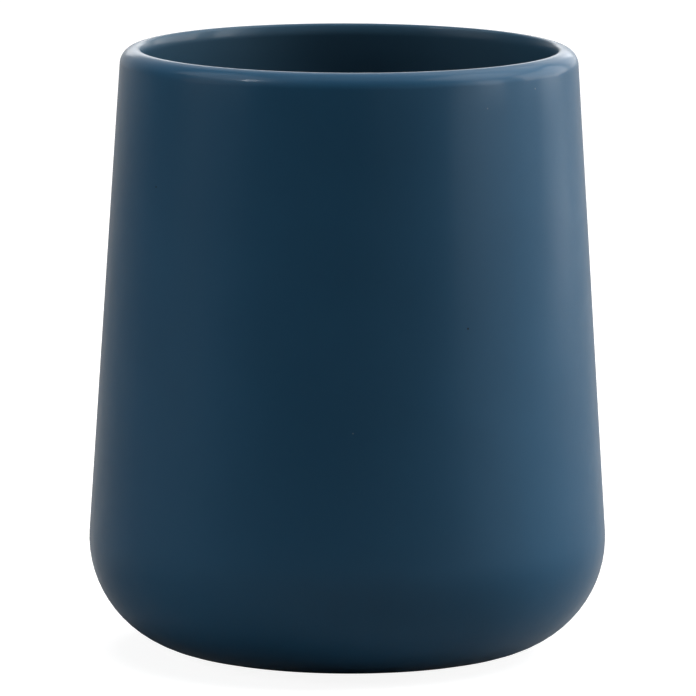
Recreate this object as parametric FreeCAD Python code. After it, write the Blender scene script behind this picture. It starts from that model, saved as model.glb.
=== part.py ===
import FreeCAD
import Part
import math
import os

# Bathroom tumbler, in millimetres, +Z up. The origin is the middle of the foam pad's
# underside, on the surface that the tumbler stands on.
# A tapered ceramic vessel carries one coat of satin glaze outside and one inside. The two
# coats meet at the crest of the rim. Underneath, a bare foot ring surrounds a shallow recess
# that seats a self-adhesive foam pad.
# Every turned surface is one outline of lines and tangent arcs in the XZ plane. The clay and
# its coats share the same arc centres, so a coat is the space between two depths of one outline.

# Driving dimensions of the vessel, measured over the glaze
overall_height = 100.0
belly_diameter = 85.0
rim_diameter = 74.8            # where the tapered side, carried straight on, meets the top
corner_radius = 18.5           # outside, between the side and the foot
inside_corner_radius = 16.0
wall_thickness = 3.5
floor_thickness = 5.0          # from the foot ring's face to the floor inside
lip_inner_radius = 0.6
lip_flare_radius = 4.0         # eases the inner lip into the side below it
lip_flare_turn = 24.0          # degrees that the flare turns through

# Driving dimensions of the glaze, the foot and the pad
glaze_thickness = 0.3
foot_ring_width = 4.6
foot_edge_radius = 0.5         # on the edge that turns up into the recess
pad_thickness = 1.5
pad_stands_proud = 0.6         # how far the pad holds the foot ring off the shelf
pad_side_clearance = 0.4
adhesive_thickness = 0.15

# Directions in the outline's plane, as angles from straight out
straight_up = math.pi / 2
straight_down = -math.pi / 2
straight_in = -math.pi
axis_up = FreeCAD.Vector(0, 0, 1)


def point(radius, height):
    return FreeCAD.Vector(radius, 0, height)


def on_circle(centre, radius, angle):
    return centre + point(radius * math.cos(angle), radius * math.sin(angle))


def line(start, end):
    return Part.LineSegment(start, end).toShape()


def arc(centre, radius, start_angle, end_angle):
    angles = (start_angle, (start_angle + end_angle) / 2, end_angle)
    return Part.Arc(*[on_circle(centre, radius, angle) for angle in angles]).toShape()


def turned(edges):
    """The solid that a closed outline sweeps in a full turn about the tumbler's axis."""
    outline = Part.Wire(Part.__sortEdges__(edges))
    return Part.Face(outline).revolve(point(0, 0), axis_up)


def disc(radius, bottom, thickness):
    return Part.makeCylinder(radius, thickness, point(0, bottom))


# Heights, from the shelf up
foot_height = pad_stands_proud
floor_height = foot_height + floor_thickness
recess_height = pad_thickness + adhesive_thickness

# The outside corner, and the side that leaves it at a tangent and leans in to the rim
corner_centre = point(belly_diameter / 2 - corner_radius, foot_height + corner_radius)
to_rim = point(rim_diameter / 2, overall_height) - corner_centre
side_lean = math.atan2(to_rim.z, to_rim.x) - math.acos(corner_radius / to_rim.Length)


def beside_the_side(start, step_out, height):
    """The point at a height that lies a step further out than another, square to the side."""
    lean_in = (height - start.z) * math.sin(side_lean)
    return point(start.x + (step_out - lean_in) / math.cos(side_lean), height)


# The lip is round over its whole thickness: a small radius and a flare inside, the rest of it outside
facing_in = side_lean + math.pi
flare_start = facing_in - math.radians(lip_flare_turn)
flare_step = lip_flare_radius - lip_inner_radius
flare_share = lip_flare_radius - flare_step * math.cos(math.radians(lip_flare_turn))
inner_share = flare_share + lip_inner_radius * math.sin(side_lean)
lip_outer_radius = (wall_thickness - inner_share) / (1 - math.sin(side_lean))
lip_outer_centre = beside_the_side(
    corner_centre, corner_radius - lip_outer_radius, overall_height - lip_outer_radius)
crest_radius = lip_outer_centre.x
lip_inner_centre = point(crest_radius, overall_height - lip_inner_radius)
lip_flare_centre = on_circle(lip_inner_centre, -flare_step, flare_start)
inside_corner_centre = beside_the_side(
    lip_flare_centre, -lip_flare_radius - inside_corner_radius, floor_height + inside_corner_radius)

# The foot ring ends where the corner touches the foot's plane, and the pad fits inside it
foot_outer_radius = corner_centre.x
recess_radius = foot_outer_radius - foot_ring_width
pad_radius = recess_radius - pad_side_clearance


def outside_edges(depth):
    """Corner, side and outer lip, at a depth below the finished surface."""
    corner = corner_radius - depth
    lip = lip_outer_radius - depth
    side_foot = on_circle(corner_centre, corner, side_lean)
    side_top = on_circle(lip_outer_centre, lip, side_lean)
    return [
        arc(corner_centre, corner, straight_down, side_lean),
        line(side_foot, side_top),
        arc(lip_outer_centre, lip, side_lean, straight_up),
    ]


def inside_edges(depth):
    """Inner lip, flare, inner side, inside corner and floor, at a depth below the finished surface."""
    lip = lip_inner_radius - depth
    flare = lip_flare_radius - depth
    corner = inside_corner_radius + depth
    side_top = on_circle(lip_flare_centre, flare, facing_in)
    side_foot = on_circle(inside_corner_centre, corner, side_lean)
    floor_edge = on_circle(inside_corner_centre, corner, straight_down)
    return [
        arc(lip_inner_centre, lip, straight_up, flare_start),
        arc(lip_flare_centre, flare, flare_start, facing_in),
        line(side_top, side_foot),
        arc(inside_corner_centre, corner, side_lean, straight_down),
        line(floor_edge, point(0, floor_height - depth)),
    ]


def crest_seam():
    """Where the two coats meet, on top of the rim."""
    return line(point(crest_radius, overall_height - glaze_thickness), point(crest_radius, overall_height))


def glaze_line():
    """Where the outer coat is wiped back to the foot ring."""
    return line(point(foot_outer_radius, foot_height), point(foot_outer_radius, foot_height + glaze_thickness))


def underside_edges():
    """Recess and foot ring, from the axis out to the glaze line."""
    recess_corner = point(recess_radius, recess_height)
    edge_centre = point(recess_radius + foot_edge_radius, foot_height + foot_edge_radius)
    edge_top = on_circle(edge_centre, foot_edge_radius, straight_in)
    edge_bottom = on_circle(edge_centre, foot_edge_radius, straight_down)
    return [
        line(point(0, recess_height), recess_corner),
        line(recess_corner, edge_top),
        arc(edge_centre, foot_edge_radius, straight_in, straight_down),
        line(edge_bottom, point(foot_outer_radius, foot_height)),
        glaze_line(),
    ]


def ceramic_body():
    axis = [line(point(0, recess_height), point(0, floor_height - glaze_thickness))]
    coated = outside_edges(glaze_thickness) + inside_edges(glaze_thickness)
    return turned(underside_edges() + coated + axis)


def outer_glaze():
    ends = [glaze_line(), crest_seam()]
    return turned(outside_edges(0) + outside_edges(glaze_thickness) + ends)


def inner_glaze():
    ends = [crest_seam(), line(point(0, floor_height - glaze_thickness), point(0, floor_height))]
    return turned(inside_edges(0) + inside_edges(glaze_thickness) + ends)


def pad_adhesive():
    return disc(pad_radius, pad_thickness, adhesive_thickness)


def base_pad():
    return disc(pad_radius, 0, pad_thickness)


nodes = {
    "ceramic_body": ceramic_body(),
    "outer_glaze": outer_glaze(),
    "inner_glaze": inner_glaze(),
    "pad_adhesive": pad_adhesive(),
    "base_pad": base_pad(),
}

os.makedirs("parts", exist_ok=True)
for name, solid in nodes.items():
    solid.exportStep(f"parts/{name}.step")
    print(f"{name}: {solid.ShapeType}, valid {solid.isValid()}, {solid.Volume / 1000:.2f} cm3")
print(f"side leans in {math.degrees(side_lean):.2f} degrees, outer lip radius {lip_outer_radius:.2f} mm")
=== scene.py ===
"""Looks of the bathroom tumbler: satin petrol-blue glaze inside and out, a bare clay foot and a foam pad.

Every piece is turned about +Z by a Geometry Nodes tree. Its outline is a list of keys, each a centre, a
radius and a direction, and a point of it lies at centre + radius * direction. Between two keys all three
change evenly: a run is an arc where only the direction changes, and a straight line where it stays.
The direction is the surface's own normal, so a coat's back has the same keys with a smaller radius.
Metres and radians, in the part's own frame, where nothing else is said.
"""
import bpy
import math
from mathutils import Matrix, Vector


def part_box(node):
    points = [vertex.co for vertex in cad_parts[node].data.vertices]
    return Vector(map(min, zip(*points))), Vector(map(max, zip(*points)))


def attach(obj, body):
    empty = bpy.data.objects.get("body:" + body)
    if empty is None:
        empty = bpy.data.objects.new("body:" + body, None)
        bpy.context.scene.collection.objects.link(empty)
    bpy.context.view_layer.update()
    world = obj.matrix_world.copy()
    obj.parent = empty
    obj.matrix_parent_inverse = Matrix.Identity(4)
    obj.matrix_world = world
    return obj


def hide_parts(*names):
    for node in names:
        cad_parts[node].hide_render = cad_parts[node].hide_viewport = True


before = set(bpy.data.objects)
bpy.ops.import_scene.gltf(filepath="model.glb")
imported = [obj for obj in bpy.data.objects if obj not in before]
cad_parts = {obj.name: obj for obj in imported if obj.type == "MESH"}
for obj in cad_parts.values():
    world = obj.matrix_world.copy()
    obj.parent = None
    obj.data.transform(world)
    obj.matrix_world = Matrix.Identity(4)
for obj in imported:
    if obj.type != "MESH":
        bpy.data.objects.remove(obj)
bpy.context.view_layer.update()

BODY = "root"

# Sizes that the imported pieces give
LOW, HIGH = 0, 1
glaze_low, glaze_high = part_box("outer_glaze")
clay_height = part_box("ceramic_body")[HIGH].z
lining_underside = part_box("inner_glaze")[LOW].z
pad_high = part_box("base_pad")[HIGH]
film_low, film_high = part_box("pad_adhesive")
overall_height = glaze_high.z
foot_height = glaze_low.z
belly_radius = glaze_high.x
glaze_thickness = overall_height - clay_height
floor_height = lining_underside + glaze_thickness
pad_radius = pad_high.x
film_edge_radius = (film_high.z - film_low.z) / 2

# Sizes that the vessel was drawn with
rim_radius = 0.0374
corner_radius = 0.0185
inside_corner_radius = 0.016
wall_thickness = 0.0035
lip_inner_radius = 0.0006
lip_flare_radius = 0.004
lip_flare_turn = math.radians(24)
pad_side_clearance = 0.0004
foot_edge_radius = 0.0005
pad_edge_radius = 0.0002

# How finely the pieces are turned, how near points are joined, and the angle from which an edge looks sharp
STEPS_AROUND = 224
STEPS_ALONG_RUN = 18
WELD_DISTANCE = 0.000002
SHARP_EDGE = math.radians(35)

# How far a cast and glazed surface strays from true, and the noise that it strays by
UNEVENNESS = 0.00006
UNEVENNESS_PER_METRE = 38.0
UNEVENNESS_DETAIL = 2.0
UNEVENNESS_ROUGHNESS = 0.4
NOISE_MIDDLE = (0.5, 0.5, 0.5)

# Which sockets of a Mix node take the two values and give the result, for each kind of value
MIX_SOCKETS = {"FLOAT": (2, 3, 0), "VECTOR": (4, 5, 1), "RGBA": (6, 7, 2)}

# Directions in the outline's plane, as angles from straight out
UP = math.pi / 2
DOWN = -math.pi / 2
IN = -math.pi
OUT = 0.0


def outline_sizes():
    """Every named centre and radius of the turned pieces, worked out as the vessel's outline is drawn."""
    corner = Vector((belly_radius - corner_radius, 0, foot_height + corner_radius))
    to_rim = Vector((rim_radius, 0, overall_height)) - corner
    lean = math.atan2(to_rim.z, to_rim.x) - math.acos(corner_radius / to_rim.length)

    def beside_the_side(start, step_out, height):
        lean_in = (height - start.z) * math.sin(lean)
        return Vector((start.x + (step_out - lean_in) / math.cos(lean), 0, height))

    flare_step = lip_flare_radius - lip_inner_radius
    flare_share = lip_flare_radius - flare_step * math.cos(lip_flare_turn)
    inner_share = flare_share + lip_inner_radius * math.sin(lean)
    lip_radius = (wall_thickness - inner_share) / (1 - math.sin(lean))
    lip = beside_the_side(corner, corner_radius - lip_radius, overall_height - lip_radius)
    inner_lip = Vector((lip.x, 0, overall_height - lip_inner_radius))
    flare_start = lean + math.pi - lip_flare_turn
    lip_flare = inner_lip - flare_step * Vector((math.cos(flare_start), 0, math.sin(flare_start)))
    inside_corner = beside_the_side(
        lip_flare, -lip_flare_radius - inside_corner_radius, floor_height + inside_corner_radius)
    recess_radius = pad_radius + pad_side_clearance
    recess_height = film_high.z
    film_middle = film_low.z + film_edge_radius
    sizes = {
        "Corner": (corner, corner_radius),
        "Lip": (lip, lip_radius),
        "Inner Lip": (inner_lip, lip_inner_radius),
        "Lip Flare": (lip_flare, lip_flare_radius),
        "Inside Corner": (inside_corner, -inside_corner_radius),
        "Floor Middle": (Vector((0, 0, inside_corner.z)), -inside_corner_radius),
        "Recess Middle": (Vector((0, 0, recess_height)), 0.0),
        "Recess Wall": (Vector((recess_radius, 0, recess_height)), 0.0),
        "Foot Edge": (Vector((recess_radius + foot_edge_radius, 0, foot_height + foot_edge_radius)),
                      foot_edge_radius),
        "Foot Rim": (Vector((corner.x, 0, foot_height)), 0.0),
        "Pad Underside": (Vector((0, 0, pad_edge_radius)), pad_edge_radius),
        "Pad Lower Edge": (Vector((pad_radius - pad_edge_radius, 0, pad_edge_radius)), pad_edge_radius),
        "Pad Upper Edge": (Vector((pad_radius - pad_edge_radius, 0, pad_high.z - pad_edge_radius)),
                           pad_edge_radius),
        "Pad Top": (Vector((0, 0, pad_high.z - pad_edge_radius)), pad_edge_radius),
        "Film Middle": (Vector((0, 0, film_middle)), film_edge_radius),
        "Film Rim": (Vector((pad_radius - film_edge_radius, 0, film_middle)), film_edge_radius),
    }
    return sizes, lean


outline_places, side_lean = outline_sizes()
LEAN_IN = side_lean + math.pi
FLARE_START = LEAN_IN - lip_flare_turn

# Outlines, as (named centre, direction), from axis to axis. The vessel's is underside, outside and inside.
OUTSIDE = [("Corner", DOWN), ("Corner", side_lean), ("Lip", side_lean), ("Lip", UP)]
INSIDE = [("Inner Lip", UP), ("Inner Lip", FLARE_START), ("Lip Flare", FLARE_START), ("Lip Flare", LEAN_IN),
          ("Inside Corner", LEAN_IN), ("Inside Corner", UP), ("Floor Middle", UP)]
UNDERSIDE = [("Recess Middle", DOWN), ("Recess Wall", DOWN), ("Foot Edge", IN), ("Foot Edge", DOWN),
             ("Foot Rim", DOWN)]
PAD = [("Pad Underside", DOWN), ("Pad Lower Edge", DOWN), ("Pad Lower Edge", OUT),
       ("Pad Upper Edge", OUT), ("Pad Upper Edge", UP), ("Pad Top", UP)]
FILM = [("Film Middle", DOWN), ("Film Rim", DOWN), ("Film Rim", UP), ("Film Middle", UP)]


def finished(keys):
    """Keys of a surface that is seen, with depth 0."""
    return [(centre, direction, 0.0) for centre, direction in keys]


def under_coat(keys):
    """Keys of the surface one coat's thickness below, with depth 1."""
    return [(centre, direction, 1.0) for centre, direction in keys]


def add(tree, kind, inputs=None, **settings):
    """A new node with its settings, and its inputs linked to sockets or set to values."""
    node = tree.nodes.new(kind)
    for name, value in settings.items():
        setattr(node, name, value)
    for key, value in (inputs or {}).items():
        if isinstance(value, bpy.types.NodeSocket):
            tree.links.new(value, node.inputs[key])
        else:
            node.inputs[key].default_value = value
    return node


def math_node(tree, operation, *values):
    return add(tree, "ShaderNodeMath", dict(enumerate(values)), operation=operation).outputs[0]


def whole_number(tree, operation, *values):
    return add(tree, "FunctionNodeIntegerMath", dict(enumerate(values)), operation=operation).outputs[0]


def scaled(tree, vector, amount):
    return add(tree, "ShaderNodeVectorMath", {0: vector, "Scale": amount}, operation="SCALE").outputs[0]


def pick(tree, index, choices, data_type):
    """The choice, a socket or a value, that an index names."""
    node = add(tree, "GeometryNodeIndexSwitch", {0: index}, data_type=data_type)
    while len(node.index_switch_items) < len(choices):
        node.index_switch_items.new()
    for place, choice in enumerate(choices, start=1):
        if isinstance(choice, bpy.types.NodeSocket):
            tree.links.new(choice, node.inputs[place])
        else:
            node.inputs[place].default_value = choice
    return node.outputs[0]


def turned_tree(name, keys):
    """A tree that turns an outline of (centre name, direction, depth) keys about +Z.

    The outline starts and ends on the axis, or at one and the same key. Only what lies at depth 0, the
    finished surface, strays from true.
    """
    tree = bpy.data.node_groups.new(name, "GeometryNodeTree")
    sockets = tree.interface
    for centre in dict.fromkeys(key[0] for key in keys):
        sockets.new_socket(f"{centre} Centre", in_out="INPUT", socket_type="NodeSocketVector")
        sockets.new_socket(f"{centre} Radius", in_out="INPUT", socket_type="NodeSocketFloat")
    for size in ("Coat Thickness", "Unevenness"):
        sockets.new_socket(size, in_out="INPUT", socket_type="NodeSocketFloat")
    for count in ("Steps Along Run", "Steps Around"):
        sockets.new_socket(count, in_out="INPUT", socket_type="NodeSocketInt")
    sockets.new_socket("Finish", in_out="INPUT", socket_type="NodeSocketMaterial")
    sockets.new_socket("Mesh", in_out="OUTPUT", socket_type="NodeSocketGeometry")
    given = add(tree, "NodeGroupInput").outputs

    steps_along = given["Steps Along Run"]
    last_key = len(keys) - 1
    rows = whole_number(tree, "MULTIPLY_ADD", steps_along, last_key, 1)
    columns = whole_number(tree, "ADD", given["Steps Around"], 1)
    grid = add(tree, "GeometryNodeMeshGrid", {"Vertices X": columns, "Vertices Y": rows})

    index = add(tree, "GeometryNodeInputIndex").outputs[0]
    row = whole_number(tree, "MODULO", index, rows)
    column = whole_number(tree, "DIVIDE_FLOOR", index, rows)
    this_key = whole_number(tree, "DIVIDE_FLOOR", row, steps_along)
    next_key = whole_number(tree, "MINIMUM", whole_number(tree, "ADD", this_key, 1), last_key)
    along = math_node(tree, "DIVIDE", whole_number(tree, "MODULO", row, steps_along), steps_along)

    def between_keys(choices, data_type):
        mix = add(tree, "ShaderNodeMix", {0: along}, data_type=data_type)
        first, second, result = MIX_SOCKETS[data_type]
        tree.links.new(pick(tree, this_key, choices, data_type), mix.inputs[first])
        tree.links.new(pick(tree, next_key, choices, data_type), mix.inputs[second])
        return mix.outputs[result]

    centre = between_keys([given[f"{key[0]} Centre"] for key in keys], "VECTOR")
    radius = between_keys([given[f"{key[0]} Radius"] for key in keys], "FLOAT")
    angle = between_keys([key[1] for key in keys], "FLOAT")
    depth = between_keys([key[2] for key in keys], "FLOAT")
    reach = math_node(tree, "SUBTRACT", radius, math_node(tree, "MULTIPLY", depth, given["Coat Thickness"]))
    normal = add(tree, "ShaderNodeCombineXYZ", {
        "X": math_node(tree, "COSINE", angle), "Z": math_node(tree, "SINE", angle)}).outputs[0]
    outline_point = add(tree, "ShaderNodeVectorMath", {0: centre, 1: scaled(tree, normal, reach)},
                        operation="ADD").outputs[0]
    turn = math_node(tree, "MULTIPLY", math_node(tree, "DIVIDE", column, given["Steps Around"]), math.tau)
    place = add(tree, "ShaderNodeVectorRotate", {"Vector": outline_point, "Angle": turn},
                rotation_type="Z_AXIS").outputs[0]

    noise = add(tree, "ShaderNodeTexNoise", {
        "Vector": place,
        "Scale": UNEVENNESS_PER_METRE,
        "Detail": UNEVENNESS_DETAIL,
        "Roughness": UNEVENNESS_ROUGHNESS,
    })
    stray = add(tree, "ShaderNodeVectorMath", {0: noise.outputs["Color"], 1: NOISE_MIDDLE},
                operation="SUBTRACT").outputs[0]
    amount = math_node(tree, "MULTIPLY", given["Unevenness"], math_node(tree, "SUBTRACT", 1.0, depth))
    turned = add(tree, "GeometryNodeSetPosition", {
        "Geometry": grid.outputs["Mesh"],
        "Position": place,
        "Offset": scaled(tree, stray, amount),
    }).outputs[0]

    welded = add(tree, "GeometryNodeMergeByDistance", {
        "Geometry": turned, "Distance": WELD_DISTANCE}).outputs[0]
    smooth = add(tree, "GeometryNodeSetShadeSmooth", {
        "Geometry": welded, "Shade Smooth": True}, domain="FACE").outputs[0]
    edge_angle = add(tree, "GeometryNodeInputMeshEdgeAngle").outputs["Unsigned Angle"]
    sharp = math_node(tree, "GREATER_THAN", edge_angle, SHARP_EDGE)
    creased = add(tree, "GeometryNodeSetShadeSmooth", {
        "Geometry": smooth, "Selection": sharp, "Shade Smooth": False}, domain="EDGE").outputs[0]
    real = add(tree, "GeometryNodeRealizeInstances", {"Geometry": creased}).outputs[0]
    finish = add(tree, "GeometryNodeSetMaterial", {"Geometry": real, "Material": given["Finish"]}).outputs[0]
    add(tree, "NodeGroupOutput", {"Mesh": finish})
    return tree


def turned_piece(name, keys, finish, unevenness=0.0):
    """One turned piece as a plain mesh that stands for the CAD node of its name."""
    tree = turned_tree(f"{name}_turned", keys)
    piece = bpy.data.objects.new(f"{name}_looks", bpy.data.meshes.new(name))
    bpy.context.scene.collection.objects.link(piece)
    modifier = piece.modifiers.new("turned", "NODES")
    modifier.node_group = tree
    inputs = {
        "Coat Thickness": glaze_thickness,
        "Unevenness": unevenness,
        "Steps Along Run": STEPS_ALONG_RUN,
        "Steps Around": STEPS_AROUND,
        "Finish": finish,
    }
    for centre, (place, radius) in outline_places.items():
        inputs[f"{centre} Centre"] = place
        inputs[f"{centre} Radius"] = radius
    for item in tree.interface.items_tree:
        if item.in_out == "INPUT":
            modifier[item.identifier] = inputs[item.name]
    piece.update_tag()
    evaluated = piece.evaluated_get(bpy.context.evaluated_depsgraph_get())
    plain = bpy.data.meshes.new_from_object(evaluated)
    # The grid that the tree starts from leaves an empty first slot
    plain.materials.pop(index=0)
    piece.modifiers.remove(modifier)
    piece.data = plain
    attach(piece, BODY)
    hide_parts(name)
    return piece


def new_material(name):
    material = bpy.data.materials.new(name)
    material.use_nodes = True
    material.node_tree.nodes.clear()
    return material, material.node_tree


# Stretches of a random shading's levels over which it goes from none to all
NARROW_TONES = (0.35, 0.65)
MID_TONES = (0.3, 0.7)
WIDE_TONES = (0.25, 0.75)


def cloud(tree, place, per_metre, detail):
    """Even random shading from 0 to 1, with so many lumps to the metre."""
    return add(tree, "ShaderNodeTexNoise", {
        "Vector": place, "Scale": per_metre, "Detail": detail}).outputs["Fac"]


def eased(tree, value, low, high, to_low=0.0, to_high=1.0):
    """A value that goes smoothly from one level to another between low and high, and stays there."""
    return add(tree, "ShaderNodeMapRange", {
        "Value": value, "From Min": low, "From Max": high, "To Min": to_low, "To Max": to_high,
    }, interpolation_type="SMOOTHSTEP").outputs["Result"]


def toned(tree, share, first, second):
    """A colour, a share of the way from the first to the second."""
    mix = add(tree, "ShaderNodeMix", {0: share}, data_type="RGBA")
    first_place, second_place, result = MIX_SOCKETS["RGBA"]
    for place, colour in ((first_place, first), (second_place, second)):
        if isinstance(colour, bpy.types.NodeSocket):
            tree.links.new(colour, mix.inputs[place])
        else:
            mix.inputs[place].default_value = (*colour, 1.0)
    return mix.outputs[result]


def relief(tree, height, depth):
    """A surface normal for a height from 0 to 1 that stands for so many metres."""
    return add(tree, "ShaderNodeBump", {"Height": height, "Distance": depth, "Strength": 1.0}).outputs[0]


# Glaze: a petrol-blue body under a weak satin skin, with a thin clearer film on top
GLAZE_DEEP = (0.0128, 0.0625, 0.121)
GLAZE_PALE = (0.0146, 0.0690, 0.133)
# The lining is the same glaze in a greyer, slightly paler tone, as painted light: it stands in for the light
# that reaches and bounces around the inside of the tumbler.
LIT_LINING_DEEP = (0.0240, 0.0670, 0.110)
LIT_LINING_PALE = (0.0270, 0.0740, 0.121)
GLAZE_SHEEN = 0.09
GLAZE_FILM = 0.7
GLAZE_FILM_IOR = 1.2
GLAZE_FILM_ROUGHNESS = 0.17
GLAZE_ROUGHNESS = (0.42, 0.48)
GLAZE_PEEL_DEPTH = 0.000008

# Lumps to the metre in the glaze: where it pooled, its grain, its uneven gloss, its coarse and fine peel
POOLS_PER_METRE = 55.0
GLAZE_GRAINS_PER_METRE = 1100.0
GLOSS_PATCHES_PER_METRE = 140.0
PEEL_PER_METRE = 620.0
FINE_PEEL_PER_METRE = 2600.0

# How much pooling and grain each count in the colour, and fine peel in the relief
POOL_SHARE = 0.7
GLAZE_GRAIN_SHARE = 0.3
FINE_PEEL_SHARE = 0.15

# Specks, and the painted highlight among them, fade out from this share of their radius
SPECK_AND_GLINT_CORE = 0.5
SPECK_DARK = (0.0015, 0.006, 0.012)
# Colour of the pale specks, and of a painted highlight on the lip
PALE_SPECK_AND_GLINT = (0.11, 0.15, 0.18)

# Specks in the glaze, and one painted highlight on the lip, as (azimuth in degrees from the front, height,
# radius, colour)
SPECKS_AND_GLINT = [
    (28.8, 0.0587, 0.00022, SPECK_DARK),
    (-53.6, 0.0799, 0.00020, SPECK_DARK),
    (53.0, 0.0961, 0.00018, PALE_SPECK_AND_GLINT),
    (36.1, 0.0938, 0.00016, PALE_SPECK_AND_GLINT),
    (1.2, 0.0425, 0.00016, PALE_SPECK_AND_GLINT),
    # A painted highlight: a pale dot on the top of the lip that stands for a glint of light, not a speck
    (97.0, 0.0996, 0.00018, PALE_SPECK_AND_GLINT),
    (112.0, 0.0710, 0.00020, SPECK_DARK),
    (-128.0, 0.0360, 0.00018, PALE_SPECK_AND_GLINT),
    (168.0, 0.0540, 0.00022, SPECK_DARK),
    (-157.0, 0.0880, 0.00016, PALE_SPECK_AND_GLINT),
]


def speck_and_glint_place(azimuth, height):
    """The point of the outside at an azimuth and a height, on the straight side or on the lip above it."""
    corner, radius = outline_places["Corner"]
    lip, lip_radius = outline_places["Lip"]
    out = corner.x + (radius - (height - corner.z) * math.sin(side_lean)) / math.cos(side_lean)
    if height > lip.z:
        out = lip.x + math.sqrt(lip_radius ** 2 - (height - lip.z) ** 2)
    turn = math.radians(azimuth)
    return Vector((out * math.sin(turn), -out * math.cos(turn), height))


def satin_glaze(name, deep, pale, specks_and_glint=()):
    material, tree = new_material(name)
    place = add(tree, "ShaderNodeTexCoord").outputs["Object"]
    pooling = eased(tree, cloud(tree, place, POOLS_PER_METRE, detail=3.0), *MID_TONES)
    grain = cloud(tree, place, GLAZE_GRAINS_PER_METRE, detail=2.0)
    share = math_node(tree, "ADD", math_node(tree, "MULTIPLY", pooling, POOL_SHARE),
                      math_node(tree, "MULTIPLY", grain, GLAZE_GRAIN_SHARE))
    colour = toned(tree, share, deep, pale)
    # Specks, and the painted highlight on the lip, go into the colour
    for azimuth, height, radius, tone in specks_and_glint:
        apart = add(tree, "ShaderNodeVectorMath", {0: place, 1: speck_and_glint_place(azimuth, height)},
                    operation="DISTANCE").outputs["Value"]
        colour = toned(tree, eased(tree, apart, radius * SPECK_AND_GLINT_CORE, radius, 1.0, 0.0), colour, tone)
    gloss_patches = cloud(tree, place, GLOSS_PATCHES_PER_METRE, detail=3.0)
    coarse_peel = cloud(tree, place, PEEL_PER_METRE, detail=2.0)
    fine_peel = cloud(tree, place, FINE_PEEL_PER_METRE, detail=1.0)
    peel = math_node(tree, "ADD", coarse_peel, math_node(tree, "MULTIPLY", fine_peel, FINE_PEEL_SHARE))
    shader = add(tree, "ShaderNodeBsdfPrincipled", {
        "Base Color": colour,
        "Roughness": eased(tree, gloss_patches, *WIDE_TONES, *GLAZE_ROUGHNESS),
        "Specular IOR Level": GLAZE_SHEEN,
        "Coat Weight": GLAZE_FILM,
        "Coat IOR": GLAZE_FILM_IOR,
        "Coat Roughness": GLAZE_FILM_ROUGHNESS,
        "Normal": relief(tree, peel, GLAZE_PEEL_DEPTH),
    })
    add(tree, "ShaderNodeOutputMaterial", {"Surface": shader.outputs[0]})
    return material


# Fired clay, bare where the glaze was wiped off the foot
CLAY_SHADE = (0.66, 0.59, 0.48)
CLAY_PALE = (0.80, 0.73, 0.62)
CLAY_PIT = (0.34, 0.28, 0.21)
CLAY_STAIN = (0.20, 0.24, 0.27)
CLAY_SHEEN = 0.3
CLAY_ROUGHNESS = (0.74, 0.88)
CLAY_RELIEF_DEPTH = 0.00004
CLAY_GRAINS_PER_METRE = 2600.0
CLAY_PATCHES_PER_METRE = 110.0
CLAY_GRAIN_HEIGHT = 0.4

# Pits: where their edge begins and ends, in shares of their spacing, and how far they darken the clay
PITS_PER_METRE = 1300.0
PIT_EDGE = (0.06, 0.2)
PIT_SHARE = 0.7

# The stain that the wiped glaze leaves beside its edge, and how much of its width lies within that edge
STAIN_WIDTH = 0.0009
STAIN_WITHIN = 0.4
STAIN_SHARE = 0.75
STAIN_WAVES_PER_METRE = 420.0

# Rings left by the wiping sponge: their height, where a pit is 1 deep, and how far the patches shift them
WIPE_RING_SPACING = 0.0009
WIPE_RING_HEIGHT = 0.12
WIPE_RING_SHIFT = 9.0


def bare_clay(name):
    material, tree = new_material(name)
    place = add(tree, "ShaderNodeTexCoord").outputs["Object"]
    flat = add(tree, "ShaderNodeVectorMath", {0: place, 1: (1, 1, 0)}, operation="MULTIPLY").outputs[0]
    out = add(tree, "ShaderNodeVectorMath", {0: flat}, operation="LENGTH").outputs["Value"]
    grain = cloud(tree, place, CLAY_GRAINS_PER_METRE, detail=3.0)
    patches = cloud(tree, place, CLAY_PATCHES_PER_METRE, detail=3.0)
    mottle = math_node(tree, "MULTIPLY_ADD", grain, 0.5, math_node(tree, "MULTIPLY", patches, 0.5))
    colour = toned(tree, eased(tree, mottle, *MID_TONES), CLAY_SHADE, CLAY_PALE)
    stain_start = outline_places["Foot Rim"][0].x - STAIN_WIDTH * STAIN_WITHIN
    wander = math_node(tree, "MULTIPLY", cloud(tree, place, STAIN_WAVES_PER_METRE, detail=2.0), STAIN_WIDTH)
    stain = eased(tree, math_node(tree, "ADD", out, wander), stain_start, stain_start + STAIN_WIDTH,
                  0.0, STAIN_SHARE)
    colour = toned(tree, stain, colour, CLAY_STAIN)
    cells = add(tree, "ShaderNodeTexVoronoi", {"Vector": place, "Scale": PITS_PER_METRE}).outputs["Distance"]
    pit = eased(tree, cells, *PIT_EDGE, 1.0, 0.0)
    colour = toned(tree, math_node(tree, "MULTIPLY", pit, PIT_SHARE), colour, CLAY_PIT)
    turns = math_node(tree, "MULTIPLY_ADD", out, math.tau / WIPE_RING_SPACING,
                      math_node(tree, "MULTIPLY", patches, WIPE_RING_SHIFT))
    rings = math_node(tree, "MULTIPLY", math_node(tree, "SINE", turns), WIPE_RING_HEIGHT)
    surface = math_node(tree, "MULTIPLY_ADD", grain, CLAY_GRAIN_HEIGHT, rings)
    shader = add(tree, "ShaderNodeBsdfPrincipled", {
        "Base Color": colour,
        "Roughness": eased(tree, grain, *MID_TONES, *CLAY_ROUGHNESS),
        "Specular IOR Level": CLAY_SHEEN,
        "Normal": relief(tree, math_node(tree, "SUBTRACT", surface, pit), CLAY_RELIEF_DEPTH),
    })
    add(tree, "ShaderNodeOutputMaterial", {"Surface": shader.outputs[0]})
    return material


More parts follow.
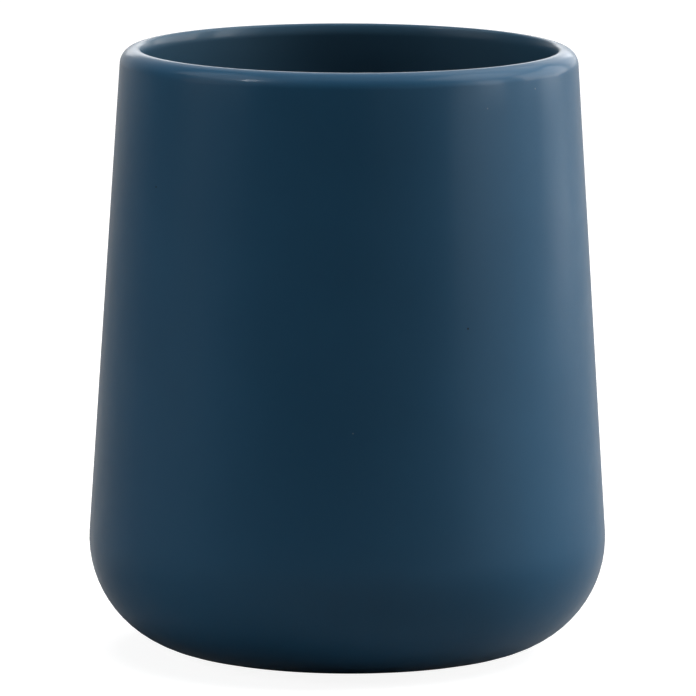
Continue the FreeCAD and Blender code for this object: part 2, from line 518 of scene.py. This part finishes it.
# Closed-cell foam: dark, with the hollows of cut cells darker than their skins, as painted shade in the
# hollows
FOAM_SHADED_HOLLOW = (0.022, 0.023, 0.025)
FOAM_SKIN = (0.045, 0.046, 0.049)
FOAM_SHEEN = 0.3
FOAM_ROUGHNESS = (0.8, 0.92)
FOAM_RELIEF_DEPTH = 0.00006
FOAM_CELLS_PER_METRE = 2600.0
FOAM_SKIN_EDGE = (0.02, 0.16)
FOAM_SKIN_SHARE = 0.6
DUST_PER_METRE = 160.0
DUST_SHARE = 0.4


def closed_cell_foam(name):
    material, tree = new_material(name)
    place = add(tree, "ShaderNodeTexCoord").outputs["Object"]
    cells = add(tree, "ShaderNodeTexVoronoi", {
        "Vector": place, "Scale": FOAM_CELLS_PER_METRE}, feature="DISTANCE_TO_EDGE").outputs["Distance"]
    # Away from the cell skins, the hollows are painted darker: painted shade
    skin = eased(tree, cells, *FOAM_SKIN_EDGE, 1.0, 0.0)
    dust = cloud(tree, place, DUST_PER_METRE, detail=4.0)
    share = math_node(tree, "MULTIPLY_ADD", dust, DUST_SHARE,
                      math_node(tree, "MULTIPLY", skin, FOAM_SKIN_SHARE))
    shader = add(tree, "ShaderNodeBsdfPrincipled", {
        "Base Color": toned(tree, share, FOAM_SHADED_HOLLOW, FOAM_SKIN),
        "Roughness": eased(tree, dust, *MID_TONES, *FOAM_ROUGHNESS),
        "Specular IOR Level": FOAM_SHEEN,
        "Normal": relief(tree, skin, FOAM_RELIEF_DEPTH),
    })
    add(tree, "ShaderNodeOutputMaterial", {"Surface": shader.outputs[0]})
    return material


# Adhesive film: milky, with a little cloudiness where it wetted out unevenly
FILM_MILKY = (0.68, 0.67, 0.61)
FILM_CLEAR = (0.76, 0.75, 0.71)
FILM_ROUGHNESS = (0.28, 0.42)
FILM_RELIEF_DEPTH = 0.00001
FILM_CLOUDS_PER_METRE = 340.0


def adhesive_film(name):
    material, tree = new_material(name)
    place = add(tree, "ShaderNodeTexCoord").outputs["Object"]
    wetting = cloud(tree, place, FILM_CLOUDS_PER_METRE, detail=3.0)
    shader = add(tree, "ShaderNodeBsdfPrincipled", {
        "Base Color": toned(tree, eased(tree, wetting, *NARROW_TONES), FILM_MILKY, FILM_CLEAR),
        "Roughness": eased(tree, wetting, *MID_TONES, *FILM_ROUGHNESS),
        "Normal": relief(tree, wetting, FILM_RELIEF_DEPTH),
    })
    add(tree, "ShaderNodeOutputMaterial", {"Surface": shader.outputs[0]})
    return material


outer_coat = finished(OUTSIDE) + under_coat(reversed(OUTSIDE)) + finished(OUTSIDE[:1])
inner_coat = under_coat(reversed(INSIDE)) + finished(INSIDE)
clay = finished(UNDERSIDE) + under_coat(OUTSIDE + INSIDE)
outside_finish = satin_glaze("outer_satin_glaze", GLAZE_DEEP, GLAZE_PALE, SPECKS_AND_GLINT)
# The lining's paler tone is painted light from inside the tumbler.
lining_finish = satin_glaze("inner_satin_glaze", LIT_LINING_DEEP, LIT_LINING_PALE)
turned_piece("outer_glaze", outer_coat, outside_finish, UNEVENNESS)
turned_piece("inner_glaze", inner_coat, lining_finish, UNEVENNESS)
turned_piece("ceramic_body", clay, bare_clay("fired_clay"))
pad = turned_piece("base_pad", finished(PAD), closed_cell_foam("closed_cell_foam"))
turned_piece("pad_adhesive", finished(FILM), adhesive_film("adhesive_film"))


# The photograph's camera, fitted to the outline of the vessel
CAMERA_DISTANCE = 1.625
CAMERA_HEIGHT = 0.29019
CAMERA_PITCH = math.radians(8.397)
CAMERA_ROLL = math.radians(0.22)
CAMERA_REACH = 20
FOCAL_PIXELS = 9996
IMAGE_PIXELS = 696


def photograph_camera():
    data = bpy.data.cameras.new("photograph_camera")
    data.lens = data.sensor_width * FOCAL_PIXELS / IMAGE_PIXELS
    data.clip_end = CAMERA_REACH
    camera = bpy.data.objects.new("photograph_camera", data)
    bpy.context.scene.collection.objects.link(camera)
    tilt = Matrix.Rotation(math.pi / 2 - CAMERA_PITCH, 4, "X") @ Matrix.Rotation(CAMERA_ROLL, 4, "Z")
    camera.matrix_world = Matrix.Translation((0, -CAMERA_DISTANCE, CAMERA_HEIGHT)) @ tilt
    bpy.context.scene.camera = camera


# Metres from the tumbler. The two differ because lamps in one and the same place lose light.
PANEL_DISTANCE = 1.0
FILL_DISTANCE = 1.1


def softbox(name, azimuth, elevation, width, height, brightness, mirrored):
    """A soft lamp that faces the tumbler, with its width and height for each metre of its distance.

    Azimuth 0 is the camera's side, and brightness 1 is white. A mirrored lamp shows in the glaze and
    lights nothing else. The others light the tumbler unseen.
    """
    distance = PANEL_DISTANCE if mirrored else FILL_DISTANCE
    data = bpy.data.lights.new(name, "AREA")
    data.shape = "RECTANGLE"
    data.size = width * distance
    data.size_y = height * distance
    data.energy = brightness * math.pi * data.size * data.size_y
    lamp = bpy.data.objects.new(name, data)
    bpy.context.scene.collection.objects.link(lamp)
    turn, rise = math.radians(azimuth), math.radians(elevation)
    away = Vector((math.sin(turn) * math.cos(rise), -math.cos(turn) * math.cos(rise), math.sin(rise)))
    aim = Vector((0, 0, overall_height / 2))
    lamp.location = aim + away * distance
    lamp.rotation_euler = away.to_track_quat("Z", "Y").to_euler()
    lamp.visible_camera = False
    lamp.visible_diffuse = not mirrored
    lamp.visible_glossy = mirrored


# The white ground: how far it reaches, how bright it shows by itself, its paint, and the dark room's light
GROUND_REACH = 3
GROUND_GLOW = 0.9
GROUND_PAINT = (0.36, 0.36, 0.36, 1.0)
BACKDROP_WHITE = (1, 1, 1, 1)
ROOM_LIGHT = 0.03

# How reflections show the ground behind: where it begins to show and where it shows most, and its share
# at both. Places on the floor are metres back. On the backdrop, 1 is a direction straight back.
FLOOR_MIRRORED = (0.3, 1.5, 0.0, 0.6)
BACKDROP_MIRRORED = (0.3, 0.95, 0.0, 0.7)


def white_ground_share(tree, toward_back, fade_in):
    """Where the white ground shows: all of it to the camera, and what stands behind in reflections."""
    light_path = add(tree, "ShaderNodeLightPath").outputs
    mirrored = math_node(tree, "MAXIMUM", light_path["Is Glossy Ray"], light_path["Is Transmission Ray"])
    behind = math_node(tree, "MULTIPLY", mirrored, eased(tree, toward_back, *fade_in))
    return math_node(tree, "MAXIMUM", light_path["Is Camera Ray"], behind)


def floor():
    mesh = bpy.data.meshes.new("floor")
    corners = [(-GROUND_REACH, -GROUND_REACH, 0), (GROUND_REACH, -GROUND_REACH, 0),
               (GROUND_REACH, GROUND_REACH, 0), (-GROUND_REACH, GROUND_REACH, 0)]
    mesh.from_pydata(corners, [], [(0, 1, 2, 3)])
    plane = bpy.data.objects.new("floor", mesh)
    bpy.context.scene.collection.objects.link(plane)
    material, tree = new_material("pale_floor")
    place = add(tree, "ShaderNodeTexCoord").outputs["Object"]
    toward_back = add(tree, "ShaderNodeSeparateXYZ", {0: place}).outputs["Y"]
    share = white_ground_share(tree, toward_back, FLOOR_MIRRORED)
    paint = add(tree, "ShaderNodeBsdfDiffuse", {"Color": GROUND_PAINT})
    glow = add(tree, "ShaderNodeEmission", {"Strength": math_node(tree, "MULTIPLY", share, GROUND_GLOW)})
    top = add(tree, "ShaderNodeAddShader", {0: paint.outputs[0], 1: glow.outputs[0]})
    clear = add(tree, "ShaderNodeBsdfTransparent")
    from_below = add(tree, "ShaderNodeNewGeometry").outputs["Backfacing"]
    mixed = add(tree, "ShaderNodeMixShader", {0: from_below, 1: top.outputs[0], 2: clear.outputs[0]})
    add(tree, "ShaderNodeOutputMaterial", {"Surface": mixed.outputs[0]})
    mesh.materials.append(material)


def studio_world():
    world = bpy.data.worlds.new("studio")
    world.use_nodes = True
    tree = world.node_tree
    tree.nodes.clear()
    direction = add(tree, "ShaderNodeTexCoord").outputs["Generated"]
    toward_back = add(tree, "ShaderNodeSeparateXYZ", {0: direction}).outputs["Y"]
    share = white_ground_share(tree, toward_back, BACKDROP_MIRRORED)
    strength = math_node(tree, "MAXIMUM", share, ROOM_LIGHT)
    backdrop = add(tree, "ShaderNodeBackground", {"Color": BACKDROP_WHITE, "Strength": strength})
    add(tree, "ShaderNodeOutputWorld", {"Surface": backdrop.outputs[0]})
    bpy.context.scene.world = world


# Panels that the glaze mirrors, as (name, azimuth, elevation, width, height, brightness), angles in degrees
PANELS = [
    ("left_panel", -70, 17, 0.7, 0.5, 1.0),
    ("front_panel", 30, 17, 0.7, 0.5, 0.5),
    ("strip_front_panel", 62, 17, 0.25, 0.5, 2.5),
    ("bright_strip", 76, 17, 0.25, 0.5, 9.0),
    ("right_edge_panel", 101, 17, 0.12, 0.5, 7.5),
    ("right_panel", 112, 17, 0.25, 0.5, 4.0),
    ("right_back_panel", 130, 17, 0.35, 0.5, 3.0),
    ("back_right_panel", 157, 17, 0.35, 0.5, 1.0),
    ("low_front_panel", 60, 2.5, 0.35, 0.09, 2.0),
    ("low_right_panel", 90, 2.5, 0.35, 0.09, 1.5),
    ("low_back_panel", 120, 2.5, 0.35, 0.09, 3.5),
    ("high_left_panel", -90, 50, 0.6, 0.55, 3.0),
    ("high_right_panel", 90, 50, 0.6, 0.55, 4.5),
    ("high_right_back_panel", 135, 50, 0.6, 0.55, 2.0),
    ("high_back_panel", 180, 50, 0.6, 0.55, 0.5),
    ("overhead_panel", 0, 90, 0.75, 0.75, 0.5),
    ("crest_panel", 180, 14, 0.6, 0.17, 2.0),
    ("lip_highlight", -60, 44, 0.075, 0.2, 45.0),
]
# Lamps that light the tumbler and the ground, in the same way
FILL_LAMPS = [
    ("left_fill", -80, 17, 0.35, 0.5, 5.5),
    ("right_fill", 100, 17, 0.35, 0.5, 4.0),
    ("high_right_fill", 90, 50, 0.6, 0.55, 7.5),
    ("overhead_fill", 0, 90, 0.75, 0.75, 4.0),
    ("low_back_fill", 120, 2.5, 0.35, 0.09, 60.0),
]

photograph_camera()
for panel in PANELS:
    softbox(*panel, mirrored=True)
for fill_lamp in FILL_LAMPS:
    softbox(*fill_lamp, mirrored=False)
floor()
studio_world()
bpy.context.scene.view_settings.view_transform = "Standard"
